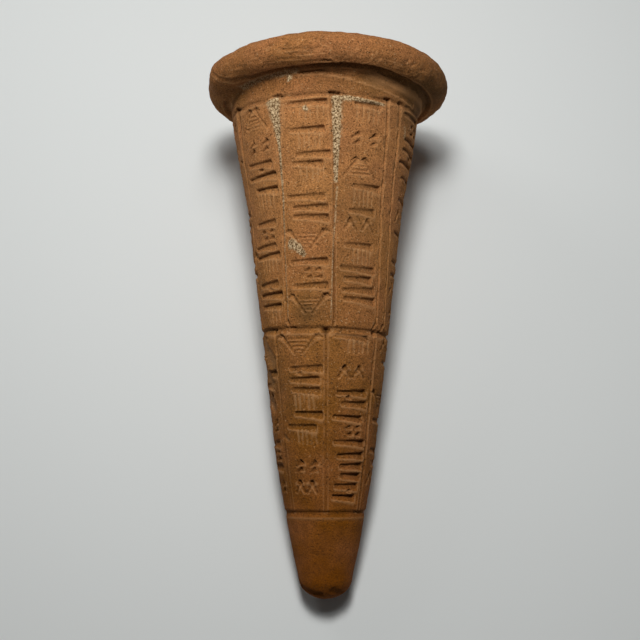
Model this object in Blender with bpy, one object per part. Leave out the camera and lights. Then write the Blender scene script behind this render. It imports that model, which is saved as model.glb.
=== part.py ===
"""A fired clay foundation cone, lying on its side.

The cone was turned by hand: a tapering shank with a blunt plain tip and a mushroom head with a
rolled edge. Rings and lengthwise lines rule the shank into cases, and each case holds groups of
stamped strokes. It rests on a small flat on the rim of the head and one under the tip.

Its own frame: s runs along the axis from the tip to the head, theta turns round the axis, 0 at
the top and 90 degrees at +X. Sizes are in millimetres, and MM brings them to metres.
"""

import math
import random

import bmesh
import bpy
from mathutils import Matrix, Vector, noise

MM = 0.001

# Driving dimensions of the shank
TIP_START = -0.2
TIP_LENGTH = 5.2
TIP_RADIUS = 6.3
TIP_TURNS = (20, 40, 60, 76, 90)
SHANK_STATIONS = (
    (5.0, 6.3), (12.0, 7.85), (20.0, 9.35), (32.0, 11.4), (46.0, 13.1),
    (60.0, 14.75), (78.0, 16.85), (92.0, 18.6), (104.0, 20.9), (113.4, 22.4),
)

# Driving dimensions of the head
HEAD_MIDDLE = 120.8
HEAD_RADIUS = 28.7
ROLL_RADIUS = 3.9
FACE_RISE = 5.1
HEAD_LEAN = math.radians(4.3)
HEAD_SHIFT = 0.5
NECK_START = 113.8
NECK_END = (115.8, 22.85)
ROLL_TURNS = (-103, -70, -38, -6, 26, 58, 92)
FACE_SHARES = (0.66, 0.33)

# Fuller lobes of the rim, as the turn and spread in degrees and the height, and where they start
LOBES = ((-66, 11, 0.7), (-30, 18, 0.35), (92, 22, 0.5))
LOBE_FOOT = 24.0

# Rings cut round the shank: distance from the tip, half width and depth
LOW_RING = 19.8
MIDDLE_RING = 61.2
SHOULDER_RING = 113.4
RING_HALF_WIDTH = 0.6
RING_DEPTH = 0.5
RING_SKEW = math.radians(1.7)
SKEW_REACH = 8.0

# Lines that rule the upper column into nine cases and one narrow blank strip
CASES = 9
FIRST_LINE = math.radians(6.3)
BLANK_STRIP = math.radians(11.5)
CASE_ANGLE = (2 * math.pi - BLANK_STRIP) / CASES
LINE_HALF_ANGLE = math.radians(2.6)
LINE_DEPTH = 0.75
FAN_TURN = math.radians(6.3)
FAN_SHIFT = math.radians(1.2)
FAN_MIDDLE = 90.0
FAN_REACH = 25.0
FAN_LIMIT = 1.1

# Lines of the lower column, which is ruled wider, and fainter after its first line
LOW_CASES = 7
LOW_FIRST_LINE = math.radians(52.0)
LOW_LINE_WIDTH = 1.1
LOW_LINE_DEPTH = 0.6
FAINT_LINE_WIDTH = 0.8
FAINT_LINE_DEPTH = 0.3
LOW_LINE_ROWS = 4

# Unevenness left by the hand that shaped the clay
SHANK_WOBBLE = 0.15
HEAD_WOBBLE = 0.35
WOBBLE_SCALE = 0.045

# How it lies: the axis rises towards the head, and the floor cuts a small flat under the rim
# and under the tip. The part's origin is on the floor, under the middle of its box.
REST_LEAN = math.radians(10.94)
TIP_HEIGHT = 5.26
TIP_BACK = 62.49
TIP_SIDE = 0.72

COLUMNS_PER_CASE = 2
SAME_SPOT = 0.01 * MM

# A stroke is an impression of a wedge: its head is wide and deep, its tail thin and shallow.
# Each kind gives its head width, tail width, head depth and tail depth.
BAR = (1.7, 1.0, 0.75, 0.45)
SLANT = (1.4, 0.5, 0.75, 0.3)
TICK = (1.7, 0.5, 0.9, 0.3)
STROKE_LIFT = 0.6
STROKE_SEED = 41

# How groups of strokes fill a case. Places across it are shares of its half width, and places
# along it are millimetres towards the tip.
# The cases of the underside are plainer.
CASE_MARGIN = 1.5
GROUP_GAP = 1.9
PLAIN_GAP = 4.5
GAP_PLAY = 1.5
UNDERSIDE = -0.2
USED_WIDTH = 0.78
BAR_LEFT = (-0.95, -0.35)
BAR_RIGHT = (0.7, 1.1)
BAR_SLOPE = 0.3


def smooth_between(stations, value):
    """A smooth curve through the stations, read at one place along them."""
    last = len(stations) - 1
    index = 0
    while index < last - 1 and value > stations[index + 1][0]:
        index += 1
    x0, y0 = stations[index]
    x1, y1 = stations[index + 1]
    before = stations[max(index - 1, 0)]
    after = stations[min(index + 2, last)]
    slope0 = (y1 - before[1]) / (x1 - before[0])
    slope1 = (after[1] - y0) / (after[0] - x0)
    span = x1 - x0
    t = (value - x0) / span
    start = (1 + 2 * t) * (1 - t) ** 2 * y0 + t * (1 - t) ** 2 * span * slope0
    return start + t * t * (3 - 2 * t) * y1 + t * t * (t - 1) * span * slope1


def smooth_step(low, high, value):
    t = min(max((value - low) / (high - low), 0.0), 1.0)
    return t * t * (3 - 2 * t)


def shank_radius(s):
    tip_end = TIP_START + TIP_LENGTH
    if s < tip_end:
        return TIP_RADIUS * math.sqrt(max(0.0, 1 - ((tip_end - s) / TIP_LENGTH) ** 2))
    return smooth_between(SHANK_STATIONS, s)


def fan(theta, s):
    """The lengthwise lines drift apart towards the tip, as a hand rules them."""
    drift = min(max((FAN_MIDDLE - s) / FAN_REACH, -FAN_LIMIT), FAN_LIMIT)
    return theta + drift * (FAN_SHIFT + FAN_TURN * math.sin(theta - FIRST_LINE))


def line_angles():
    """Places of the ten lines round the middle of the upper column."""
    right = FIRST_LINE + CASE_ANGLE
    return [FIRST_LINE, right] + [right + BLANK_STRIP + CASE_ANGLE * k for k in range(CASES - 1)]


def column_angles():
    """Three columns to each line, its two edges and its bottom, and a few between lines."""
    lines = line_angles()
    columns = []
    for index, line in enumerate(lines):
        columns += [(line - LINE_HALF_ANGLE, 0.0), (line, 1.0), (line + LINE_HALF_ANGLE, 0.0)]
        following = lines[index + 1] if index + 1 < len(lines) else lines[0] + 2 * math.pi
        gap = following - line - 2 * LINE_HALF_ANGLE
        inner = COLUMNS_PER_CASE if gap > BLANK_STRIP else 1
        step = gap / (inner + 1)
        columns += [(line + LINE_HALF_ANGLE + step * (k + 1), 0.0) for k in range(inner)]
    return columns


def ring_rows(place):
    """Two edges and the bottom of a ring."""
    return [
        (place - RING_HALF_WIDTH, 0.0),
        (place, 1.0),
        (place + RING_HALF_WIDTH, 0.0),
    ]


def even_rows(first, last, count):
    return [(first + (last - first) * k / (count - 1), 0.0) for k in range(count)]


def shank_rows():
    """Distances from the tip at which the turned form has a row, and each row's share of a ring."""
    tip_end = TIP_START + TIP_LENGTH
    tip = [(tip_end - TIP_LENGTH * math.cos(math.radians(turn)), 0.0) for turn in TIP_TURNS]
    return (
        tip
        + even_rows(10.0, 15.0, 2)
        + ring_rows(LOW_RING)
        + even_rows(26.5, 54.5, 5)
        + ring_rows(MIDDLE_RING)
        + even_rows(68.0, 107.0, 7)
        + ring_rows(SHOULDER_RING)
    )


def head_section():
    """The head's half section: neck, crease, rolled edge and a low dome, as (s, radius)."""
    roll_centre = HEAD_RADIUS - ROLL_RADIUS
    section = [NECK_END]
    for turn in ROLL_TURNS:
        angle = math.radians(turn)
        along = HEAD_MIDDLE + ROLL_RADIUS * math.sin(angle)
        section.append((along, roll_centre + ROLL_RADIUS * math.cos(angle)))
    for share in FACE_SHARES:
        rise = ROLL_RADIUS + (FACE_RISE - ROLL_RADIUS) * (1 - share ** 2)
        section.append((HEAD_MIDDLE + rise, roll_centre * share))
    return section


def wobble(s, theta, radius):
    """The slow unevenness of hand-shaped clay, and the fuller lobes of the rim."""
    place = Vector((radius * math.sin(theta), s, radius * math.cos(theta)))
    on_head = smooth_step(NECK_START, HEAD_MIDDLE, s)
    size = SHANK_WOBBLE + (HEAD_WOBBLE - SHANK_WOBBLE) * on_head
    lobe = 0.0
    for turn, spread, height in LOBES:
        away = math.remainder(theta - math.radians(turn), 2 * math.pi) / math.radians(spread)
        lobe += height * math.exp(-away * away)
    lobe *= smooth_step(LOBE_FOOT, HEAD_RADIUS, radius)
    return size * noise.noise(place * WOBBLE_SCALE) + lobe


def handmade(s, theta, radius):
    """A point of the hand-shaped cone, from its place on the truly turned form."""
    radius += wobble(s, theta, radius) * smooth_step(0.0, TIP_RADIUS, radius)
    lean = smooth_step(NECK_START, HEAD_MIDDLE - ROLL_RADIUS, s)
    along = s + lean * math.sin(HEAD_LEAN) * radius * math.cos(theta)
    skew = 1 - smooth_step(0.0, SKEW_REACH, abs(s - MIDDLE_RING))
    along -= skew * math.sin(RING_SKEW) * radius * math.sin(theta)
    side = radius * math.sin(theta) + lean * HEAD_SHIFT
    return Vector((side, along, radius * math.cos(theta))) * MM


def surface(s, theta, depth=0.0):
    """A point of the shank at this depth under its skin."""
    return handmade(s, theta, shank_radius(s) - depth)


def turned_cone():
    """The profile spun round the axis, then each column and row moved to its ruled place."""
    columns = column_angles()
    rows = [(s, shank_radius(s), cut) for s, cut in shank_rows()]
    rows += [(s, radius, 0.0) for s, radius in head_section()]
    tip_point = Vector((0, TIP_START * MM, 0))
    face_point = Vector((0, (HEAD_MIDDLE + FACE_RISE) * MM, 0))
    spots = [tip_point] + [Vector((0, s * MM, radius * MM)) for s, radius, cut in rows]
    spots.append(face_point)
    mesh = bmesh.new()
    chain = [mesh.verts.new(spot) for spot in spots]
    edges = [mesh.edges.new(pair) for pair in zip(chain, chain[1:])]
    bmesh.ops.spin(
        mesh, geom=chain + edges, cent=(0, 0, 0), axis=(0, 1, 0),
        angle=2 * math.pi, steps=len(columns), use_merge=True,
    )
    bmesh.ops.remove_doubles(mesh, verts=mesh.verts, dist=SAME_SPOT)
    row_at = {round(row[0], 2): row for row in rows}
    step = 2 * math.pi / len(columns)
    for vertex in mesh.verts:
        radius = math.hypot(vertex.co.x, vertex.co.z)
        if radius < SAME_SPOT:
            vertex.co = handmade(vertex.co.y / MM, 0.0, 0.0)
            continue
        s, radius, ring_share = row_at[round(vertex.co.y / MM, 2)]
        turn = math.atan2(vertex.co.x, vertex.co.z) % (2 * math.pi)
        theta, line_share = columns[round(turn / step) % len(columns)]
        ruled = MIDDLE_RING <= s <= SHOULDER_RING
        depth = max(RING_DEPTH * ring_share, LINE_DEPTH * line_share if ruled else 0.0)
        vertex.co = handmade(s, fan(theta, s), radius - depth)
    return mesh


def resting(point):
    """The point of the cone's own frame where it lies on the floor."""
    turned = Matrix.Rotation(REST_LEAN, 3, "X") @ point
    return turned + Vector((-TIP_SIDE, -TIP_BACK, TIP_HEIGHT)) * MM


def lay_down(mesh):
    """The mesh laid on the floor, with what would reach below it cut off flat."""
    for vertex in mesh.verts:
        vertex.co = resting(vertex.co)
    everything = mesh.verts[:] + mesh.edges[:] + mesh.faces[:]
    bmesh.ops.bisect_plane(
        mesh, geom=everything, dist=SAME_SPOT, plane_co=(0, 0, 0), plane_no=(0, 0, -1),
        clear_outer=True,
    )
    for vertex in mesh.verts:
        vertex.co.z = max(vertex.co.z, 0.0)
    open_edges = [edge for edge in mesh.edges if edge.is_boundary]
    bmesh.ops.holes_fill(mesh, edges=open_edges)
    bmesh.ops.recalc_face_normals(mesh, faces=mesh.faces)


def bars(draw, count, pitch):
    """Long bars across the case, one under another, heavier at their right end."""
    marks = []
    for row in range(count):
        down = row * pitch
        right = draw.uniform(*BAR_RIGHT)
        left = draw.uniform(*BAR_LEFT)
        marks.append((BAR, right, down, left, down + draw.uniform(-BAR_SLOPE, BAR_SLOPE)))
    return marks, (count - 1) * pitch


def bar_pair(draw):
    return bars(draw, 2, 2.6)


def bar_triple(draw):
    return bars(draw, 3, 2.4)


def bar_frame(draw):
    return bars(draw, 2, 5.4)


def bar_comb(draw):
    """One bar, with room under it."""
    marks, height = bars(draw, 1, 0.0)
    return marks, 4.0


def chevron(draw):
    """Two slanted strokes that run together towards the tip, or apart."""
    height = draw.uniform(4.0, 5.2)
    middle = draw.uniform(-0.1, 0.1)
    near, far = (0.85, 0.14) if draw.random() < 0.6 else (0.14, 0.85)
    return [
        (SLANT, middle - near, 0.0, middle - far, height),
        (SLANT, middle + near, 0.0, middle + far, height),
    ], height


def peaks(draw):
    """Two small pointed roofs, side by side."""
    marks = []
    for middle in (-0.42, 0.42):
        middle += draw.uniform(-0.05, 0.05)
        marks += [(SLANT, middle, 0.0, middle + side, 2.6) for side in (-0.36, 0.36)]
    return marks, 2.6


def ticks(draw):
    """Two short deep wedge heads, side by side."""
    marks = []
    for middle in (-0.35, 0.5):
        down = draw.uniform(0.2, 0.5)
        marks.append((TICK, middle + 0.18, down, middle - 0.18, down + 1.2))
    return marks, 2.8


GROUPS = (bar_pair, bar_frame, bar_triple, bar_comb, chevron, peaks, ticks)


def case_groups(draw, head_end, tip_end, gap):
    """Groups of strokes down one case, each as its kind, its place, its marks and its height."""
    groups = []
    down = head_end - CASE_MARGIN
    kind = None
    while True:
        kind = draw.choice([group for group in GROUPS if group is not kind])
        marks, height = kind(draw)
        if down - height < tip_end + CASE_MARGIN:
            return groups
        groups.append((kind, down, marks, height))
        down -= height + gap + draw.uniform(0.0, GAP_PLAY)


def ruled_angle(line, s):
    """The turn of a lengthwise line at one distance from the tip."""
    return fan(line, s) if s > MIDDLE_RING else line


def placed(marks, down, left_line, right_line):
    """A group's marks on the skin of a case, as (kind, s, theta, s, theta) from head to tail."""
    strokes = []
    for kind, across0, below0, across1, below1 in marks:
        ends = []
        for across, below in ((across0, below0), (across1, below1)):
            s = down - below
            left, right = ruled_angle(left_line, s), ruled_angle(right_line, s)
            ends += [s, (left + right) / 2 + (right - left) / 2 * USED_WIDTH * across]
        strokes.append((kind, *ends))
    return strokes


def low_line_angles():
    return [LOW_FIRST_LINE + 2 * math.pi * k / LOW_CASES for k in range(LOW_CASES)]


def cases():
    """Every case as its left line, right line, rings at its head and tip end, and its gap."""
    columns = (
        (line_angles(), SHOULDER_RING, MIDDLE_RING),
        (low_line_angles(), MIDDLE_RING, LOW_RING),
    )
    for lines, head_end, tip_end in columns:
        for left, right in zip(lines, lines[1:] + [lines[0] + 2 * math.pi]):
            if right - left > (BLANK_STRIP + CASE_ANGLE) / 2:
                faces_up = math.cos((left + right) / 2) > UNDERSIDE
                yield left, right, head_end, tip_end, GROUP_GAP if faces_up else PLAIN_GAP


def all_strokes():
    draw = random.Random(STROKE_SEED)
    strokes = []
    for left_line, right_line, head_end, tip_end, gap in cases():
        for kind, down, marks, height in case_groups(draw, head_end, tip_end, gap):
            strokes += placed(marks, down, left_line, right_line)
    return strokes


def wedge_along(cutter, stations):
    """A closed wedge of three-cornered sections; a station is (s, theta, width, depth)."""
    points = [surface(s, theta, 0.0) for s, theta, width, depth in stations]
    rings = []
    for index, (s, theta, width, depth) in enumerate(stations):
        before = points[max(index - 1, 0)]
        after = points[min(index + 1, len(points) - 1)]
        ahead = (after - before).normalized()
        out = (surface(s, theta, -1.0) - points[index]).normalized()
        side = ahead.cross(out).normalized()
        top = points[index] + out * STROKE_LIFT * MM
        half = side * width / 2 * (1 + STROKE_LIFT / depth) * MM
        corners = (top - half, top + half, points[index] - out * depth * MM)
        rings.append([cutter.verts.new(resting(corner)) for corner in corners])
    for ring, following in zip(rings, rings[1:]):
        for corner in range(3):
            beside = (corner + 1) % 3
            cutter.faces.new((ring[corner], ring[beside], following[beside], following[corner]))
    cutter.faces.new(rings[0])
    cutter.faces.new(list(reversed(rings[-1])))


def stroke_stations(kind, s0, theta0, s1, theta1):
    """The wedge's sections from its head to its tail; a long one bends round the shank."""
    head_width, tail_width, head_depth, tail_depth = kind
    steps = 2 if kind is BAR else 1
    stations = []
    for step in range(steps + 1):
        t = step / steps
        width = head_width + (tail_width - head_width) * t
        depth = head_depth + (tail_depth - head_depth) * t
        stations.append((s0 + (s1 - s0) * t, theta0 + (theta1 - theta0) * t, width, depth))
    return stations


def stroke_cutter():
    """The strokes and the lines of the lower column, as one set of wedges."""
    cutter = bmesh.new()
    for stroke in all_strokes():
        wedge_along(cutter, stroke_stations(*stroke))
    rows = even_rows(
        MIDDLE_RING - 2 * RING_HALF_WIDTH, LOW_RING + 2 * RING_HALF_WIDTH, LOW_LINE_ROWS,
    )
    for theta in low_line_angles():
        first = theta == LOW_FIRST_LINE
        width = LOW_LINE_WIDTH if first else FAINT_LINE_WIDTH
        depth = LOW_LINE_DEPTH if first else FAINT_LINE_DEPTH
        wedge_along(cutter, [(s, theta, width, depth) for s, cut in rows])
    bmesh.ops.recalc_face_normals(cutter, faces=cutter.faces)
    return cutter


def new_object(name, mesh):
    data = bpy.data.meshes.new(name)
    mesh.to_mesh(data)
    mesh.free()
    made = bpy.data.objects.new(name, data)
    bpy.context.scene.collection.objects.link(made)
    return made


def fired_clay():
    material = bpy.data.materials.new("fired_clay")
    material.use_nodes = True
    shader = material.node_tree.nodes["Principled BSDF"]
    shader.inputs["Base Color"].default_value = (0.36, 0.145, 0.055, 1.0)
    shader.inputs["Roughness"].default_value = 0.9
    shader.inputs["Metallic"].default_value = 0.0
    return material


def main():
    for leftover in list(bpy.data.objects):
        bpy.data.objects.remove(leftover)
    mesh = turned_cone()
    lay_down(mesh)
    cone = new_object("foundation_cone", mesh)
    cone.data.materials.append(fired_clay())
    cutter = new_object("stroke_cutter", stroke_cutter())
    cutter.hide_render = True
    cutter.display_type = "WIRE"
    stamped = cone.modifiers.new("stamped strokes", "BOOLEAN")
    stamped.operation = "DIFFERENCE"
    stamped.solver = "EXACT"
    stamped.use_self = True
    stamped.object = cutter
    cone.data.shade_smooth()
    cone.data.set_sharp_from_angle(angle=math.radians(35))


main()
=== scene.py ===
# %% [markdown]
# # A fired clay foundation cone
#
# This is a hand-sized nail of fired clay: a tapering shank with a blunt tip and a mushroom head.
# It was shaped by hand while the clay was soft, ruled with a stick, stamped with rows of small
# wedges, and fired. It lies on its side, on the rim of its head and on its tip.
#
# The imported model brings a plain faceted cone. We keep its size, place and ruling, and make one
# fine mesh over it with the relief, and one clay material.

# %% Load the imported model
import math
import random
from typing import NamedTuple

import bmesh
import bpy
import numpy as np
from mathutils import Euler, Matrix, Vector, noise


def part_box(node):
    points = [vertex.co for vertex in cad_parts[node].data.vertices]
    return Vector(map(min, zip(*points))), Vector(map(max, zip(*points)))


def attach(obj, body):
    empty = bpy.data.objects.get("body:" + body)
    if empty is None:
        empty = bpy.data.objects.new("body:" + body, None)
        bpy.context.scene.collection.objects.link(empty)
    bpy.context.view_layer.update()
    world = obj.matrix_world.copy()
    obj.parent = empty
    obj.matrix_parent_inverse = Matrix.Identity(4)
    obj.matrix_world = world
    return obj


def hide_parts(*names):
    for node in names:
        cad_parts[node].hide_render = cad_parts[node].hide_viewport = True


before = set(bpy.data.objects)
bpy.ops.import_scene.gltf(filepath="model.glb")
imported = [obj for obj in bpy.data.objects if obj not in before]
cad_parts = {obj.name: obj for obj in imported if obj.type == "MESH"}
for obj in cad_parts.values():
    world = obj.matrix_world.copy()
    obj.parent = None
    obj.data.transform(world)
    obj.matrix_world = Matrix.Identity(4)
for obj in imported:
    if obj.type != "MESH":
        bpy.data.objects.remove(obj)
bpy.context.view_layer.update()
MM = 0.001
low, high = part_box("foundation_cone")
print("the packed cone measures", [round(side / MM, 1) for side in high - low], "mm")

# %% [markdown]
# ## The cone's own frame
#
# A turned thing is easiest to describe along its axis. Here s is the distance from the tip in
# millimetres, r the distance from the axis, and theta the turn round it, 0 on the side that
# faces up and growing towards +X. A point is moved to the floor only once, at the very end. The
# floor pose is a lean about X and a shift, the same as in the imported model.

# %% How it lies
REST_LEAN = math.radians(10.94)
TIP_HEIGHT = 5.26
TIP_BACK = 62.49
TIP_SIDE = 0.72


def resting(points):
    """Rows of points of the cone's own frame, in mm, laid on the floor, in metres."""
    turn = np.array(Matrix.Rotation(REST_LEAN, 3, "X"))
    return (points @ turn.T + np.array((-TIP_SIDE, -TIP_BACK, TIP_HEIGHT))) * MM


# %% [markdown]
# ## The camera
#
# The cone is seen from nearly straight above, from thirty centimetres away, with its tip towards
# us. The camera could be placed by hand in the world; here it is placed in the cone's own frame,
# so the same numbers serve however the cone lies.

# %% The camera
CAMERA_HEIGHT = 295.0
CAMERA_FOOT = 29.1  # its distance from the tip, along the axis
CAMERA_SIDE = -1.2
CAMERA_TILT = math.radians(6.9)
LENS_IN_PIXELS = 1250.0
PICTURE_SIDE = 640.0
SENSOR_WIDTH = 36.0
NEAREST = 0.01

camera_data = bpy.data.cameras.new("camera")
camera_data.sensor_width = SENSOR_WIDTH
camera_data.lens = SENSOR_WIDTH * LENS_IN_PIXELS / PICTURE_SIDE
camera_data.clip_start = NEAREST
camera = bpy.data.objects.new("camera", camera_data)
bpy.context.scene.collection.objects.link(camera)
camera.location = resting(np.array([[CAMERA_SIDE, CAMERA_FOOT, CAMERA_HEIGHT]]))[0]
camera.rotation_euler = Euler((REST_LEAN + CAMERA_TILT, 0, 0))
bpy.context.scene.camera = camera
print("camera at", [round(value, 3) for value in camera.location])

# %% [markdown]
# ## The turned form
#
# The outline of the shank is a smooth curve through a few radii, with a rounded end. The head is
# a roll of clay pressed round the top: its half section is an arc, with a crease where the roll
# meets the neck, and a low dome over it. The half section could be lofted ring by ring; one
# spin of a chain of edges does it in one step, and closes it.

# %% Sizes of the shank and the head
TIP_START = -0.2
TIP_LENGTH = 5.2
TIP_RADIUS = 6.3
TIP_END = TIP_START + TIP_LENGTH
SHANK_STATIONS = (
    (5.0, 6.3), (12.0, 7.85), (20.0, 9.35), (32.0, 11.4), (46.0, 13.1),
    (60.0, 14.75), (78.0, 16.85), (92.0, 18.6), (104.0, 20.9), (113.4, 22.4),
)
NECK_STATIONS = ((113.4, 22.4), (115.6, 22.8), (116.5, 23.15), (117.0, 23.92))
HEAD_MIDDLE = 120.8
HEAD_RADIUS = 28.7
ROLL_RADIUS = 3.9
ROLL_CENTRE = HEAD_RADIUS - ROLL_RADIUS
FACE_RISE = 5.1
HEAD_LEAN = math.radians(4.3)
HEAD_SHIFT = 0.5
NECK_START = 113.8


def smooth_between(stations, values):
    """A smooth curve through the stations, read at many places at once."""
    x, y = np.array(stations).T
    last = len(x) - 1
    values = np.asarray(values, float)
    i = np.clip(np.searchsorted(x, values) - 1, 0, last - 1)
    before, after = np.maximum(i - 1, 0), np.minimum(i + 2, last)
    slope0 = (y[i + 1] - y[before]) / (x[i + 1] - x[before])
    slope1 = (y[after] - y[i]) / (x[after] - x[i])
    span = x[i + 1] - x[i]
    t = (values - x[i]) / span
    start = (1 + 2 * t) * (1 - t) ** 2 * y[i] + t * (1 - t) ** 2 * span * slope0
    return start + t * t * (3 - 2 * t) * y[i + 1] + t * t * (t - 1) * span * slope1


def smooth_step(start, end, value):
    """0 before start, 1 after end, and a smooth rise between them."""
    t = np.clip((value - start) / (end - start), 0.0, 1.0)
    return t * t * (3 - 2 * t)


def noise_at(points, scale, seed=0.0):
    """Smooth noise from -1 to 1 at many points."""
    shift = Vector((seed, seed, seed))
    return np.array([noise.noise(Vector(point) * scale + shift) for point in points])


def shank_radius(s):
    """The radius of the shank, with its rounded end."""
    inside_tip = np.clip((TIP_END - np.asarray(s, float)) / TIP_LENGTH, 0, 1)
    tip = TIP_RADIUS * np.sqrt(1 - inside_tip ** 2)
    return np.where(np.asarray(s) < TIP_END, tip, smooth_between(SHANK_STATIONS, s))


def roll_section(turn):
    """A point (s, r) of the rolled edge, by its turn in degrees: 0 straight out, minus tipward."""
    angle = math.radians(turn)
    return HEAD_MIDDLE + ROLL_RADIUS * math.sin(angle), ROLL_CENTRE + ROLL_RADIUS * math.cos(angle)


# %% The half section, and its spin
ROW_STEP = 0.75
SHANK_END = 113.2
NECK_FOOT = 113.4
ROLL_FOOT = 116.95
NECK_STEP = 0.4
TIP_TURNS = range(8, 91, 7)
ROLL_TURNS = range(-103, 92, 7)
FACE_SHARES = np.arange(0.96, 0.03, -0.05)
COLUMNS = 150
MERGE_WITHIN = 0.001


def half_section():
    """Points (s, r) from the tip to the middle of the head's face."""
    chain = [(TIP_START, 0.0)]
    for turn in np.radians(TIP_TURNS):
        chain.append((TIP_END - TIP_LENGTH * math.cos(turn), TIP_RADIUS * math.sin(turn)))
    for s in np.arange(TIP_END + ROW_STEP, SHANK_END, ROW_STEP):
        chain.append((s, float(shank_radius(s))))
    for s in np.arange(NECK_FOOT, ROLL_FOOT, NECK_STEP):
        chain.append((s, float(smooth_between(NECK_STATIONS, s))))
    chain += [roll_section(turn) for turn in ROLL_TURNS]
    for share in FACE_SHARES:
        rise = ROLL_RADIUS + (FACE_RISE - ROLL_RADIUS) * (1 - share ** 2)
        chain.append((HEAD_MIDDLE + rise, ROLL_CENTRE * share))
    return chain + [(HEAD_MIDDLE + FACE_RISE, 0.0)]


def spun_form():
    """The half section spun round the axis, in mm."""
    mesh = bmesh.new()
    chain = [mesh.verts.new((0, s, r)) for s, r in half_section()]
    edges = [mesh.edges.new(pair) for pair in zip(chain, chain[1:])]
    bmesh.ops.spin(
        mesh, geom=chain + edges, cent=(0, 0, 0), axis=(0, 1, 0),
        angle=2 * math.pi, steps=COLUMNS, use_merge=True,
    )
    bmesh.ops.remove_doubles(mesh, verts=mesh.verts, dist=MERGE_WITHIN)
    bmesh.ops.recalc_face_normals(mesh, faces=mesh.faces)
    return mesh


form = spun_form()
print("the turned form has", len(form.faces), "faces")

# %% [markdown]
# ## Where the ruling and the strokes go
#
# Two rings and a shoulder line cut the shank into two columns. Lengthwise lines part the upper
# column into nine cases and one narrow blank strip. They fan out a little towards the tip, as a
# hand rules them. The lower column is ruled wider, and its lines soon fade.

# %% Rings and lines
LOW_RING = 19.8
MIDDLE_RING = 61.2
SHOULDER_RING = 113.4
RING_SKEW = math.radians(1.7)
SKEW_REACH = 8.0
CASES = 9
FIRST_LINE = math.radians(6.3)
BLANK_STRIP = math.radians(11.5)
CASE_ANGLE = (2 * math.pi - BLANK_STRIP) / CASES
FAN_TURN = math.radians(6.3)
FAN_SHIFT = math.radians(1.2)
FAN_MIDDLE = 90.0
FAN_REACH = 25.0
FAN_LIMIT = 1.1
LOW_CASES = 7
LOW_FIRST_LINE = math.radians(52.0)
GROUP_GAP = 1.9
PLAIN_GAP = 4.5
UNDERSIDE = -0.2  # the height of a point of the skin, as a share of its radius


def fan(theta, s):
    """A line's turn at one place: the lines part towards the tip, as a hand rules them."""
    drift = np.clip((FAN_MIDDLE - s) / FAN_REACH, -FAN_LIMIT, FAN_LIMIT)
    return theta + drift * (FAN_SHIFT + FAN_TURN * math.sin(theta - FIRST_LINE))


def line_angles():
    """The turns of the upper column's lines; the blank strip lies after the second."""
    right = FIRST_LINE + CASE_ANGLE
    return [FIRST_LINE, right] + [right + BLANK_STRIP + CASE_ANGLE * k for k in range(CASES - 1)]


def low_line_angles():
    return [LOW_FIRST_LINE + 2 * math.pi * k / LOW_CASES for k in range(LOW_CASES)]


def ruled_angle(line, s):
    """The turn of a lengthwise line at one distance from the tip."""
    return fan(line, s) if s > MIDDLE_RING else line


def cases():
    """Every case as its left line, right line, rings at its head and tip end, and its gap."""
    columns = (
        (line_angles(), SHOULDER_RING, MIDDLE_RING),
        (low_line_angles(), MIDDLE_RING, LOW_RING),
    )
    for lines, head_end, tip_end in columns:
        for left, right in zip(lines, lines[1:] + [lines[0] + 2 * math.pi]):
            if right - left > (BLANK_STRIP + CASE_ANGLE) / 2:
                seen = math.cos((left + right) / 2) > UNDERSIDE
                yield left, right, head_end, tip_end, GROUP_GAP if seen else PLAIN_GAP


print(CASES, "cases above the middle ring and", LOW_CASES, "below it")

# %% [markdown]
# ## Groups of strokes
#
# The strokes fill the cases like writing, but they aren't letters: bars, frames, chevrons, roofs,
# ticks and combs follow each other by a seeded draw, so they come out the same each time. The
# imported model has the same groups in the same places. Places across a case are shares of its
# half width, and places along it are mm towards the tip.

# %% Kinds of strokes
class Kind(NamedTuple):
    """A kind of stroke: sizes in mm at its head and at its tail, and how far the head reaches."""
    head_width: float
    tail_width: float
    head_depth: float
    tail_depth: float
    head_reach: float
    dirt: float  # 1 is packed with dark dirt and painted shade, -1 with pale dust and painted highlight


BAR = Kind(1.75, 0.75, 0.95, 0.4, 5.0, 0.6)
SLANT = Kind(1.4, 0.55, 1.0, 0.45, 0.8, 0.75)
# The ticks' full dirt is mostly painted shade, to darken their deep wedge heads.
TICK = Kind(1.4, 0.3, 1.0, 0.3, 0.9, 1.0)

# %% Bars
BAR_LEFT = (-0.95, -0.35)
BAR_RIGHT = (0.7, 1.1)
BAR_SLOPE = 0.3
PAIR_PITCH = 2.6
TRIPLE_PITCH = 2.4
FRAME_HEIGHT = 5.4
COMB_HEIGHT = 4.0


def bars(draw, count, pitch):
    """Long bars across the case, one under another, heavier at their right end."""
    marks = []
    for row in range(count):
        down = row * pitch
        right = draw.uniform(*BAR_RIGHT)
        left = draw.uniform(*BAR_LEFT)
        marks.append((BAR, right, down, left, down + draw.uniform(-BAR_SLOPE, BAR_SLOPE)))
    return marks, (count - 1) * pitch


def bar_pair(draw):
    return bars(draw, 2, PAIR_PITCH)


def bar_triple(draw):
    return bars(draw, 3, TRIPLE_PITCH)


def bar_frame(draw):
    return bars(draw, 2, FRAME_HEIGHT)


def bar_comb(draw):
    """One bar, with room under it."""
    marks, _ = bars(draw, 1, 0.0)
    return marks, COMB_HEIGHT


# %% Slanted strokes and ticks
CHEVRON_HEIGHT = (4.0, 5.2)
CHEVRON_PLAY = 0.1
WIDE_END, NARROW_END = 0.85, 0.14
TIPWARD_SHARE = 0.6  # of the chevrons, and the others point to the head
PEAK_MIDDLES = (-0.42, 0.42)
PEAK_PLAY = 0.05
PEAK_SPREAD = 0.36
PEAK_HEIGHT = 2.6
TICK_MIDDLES = (-0.35, 0.5)
TICK_DOWN = (0.2, 0.5)
TICK_SLANT = 0.18
TICK_LENGTH = 1.2
TICKS_HEIGHT = 2.8


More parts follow.
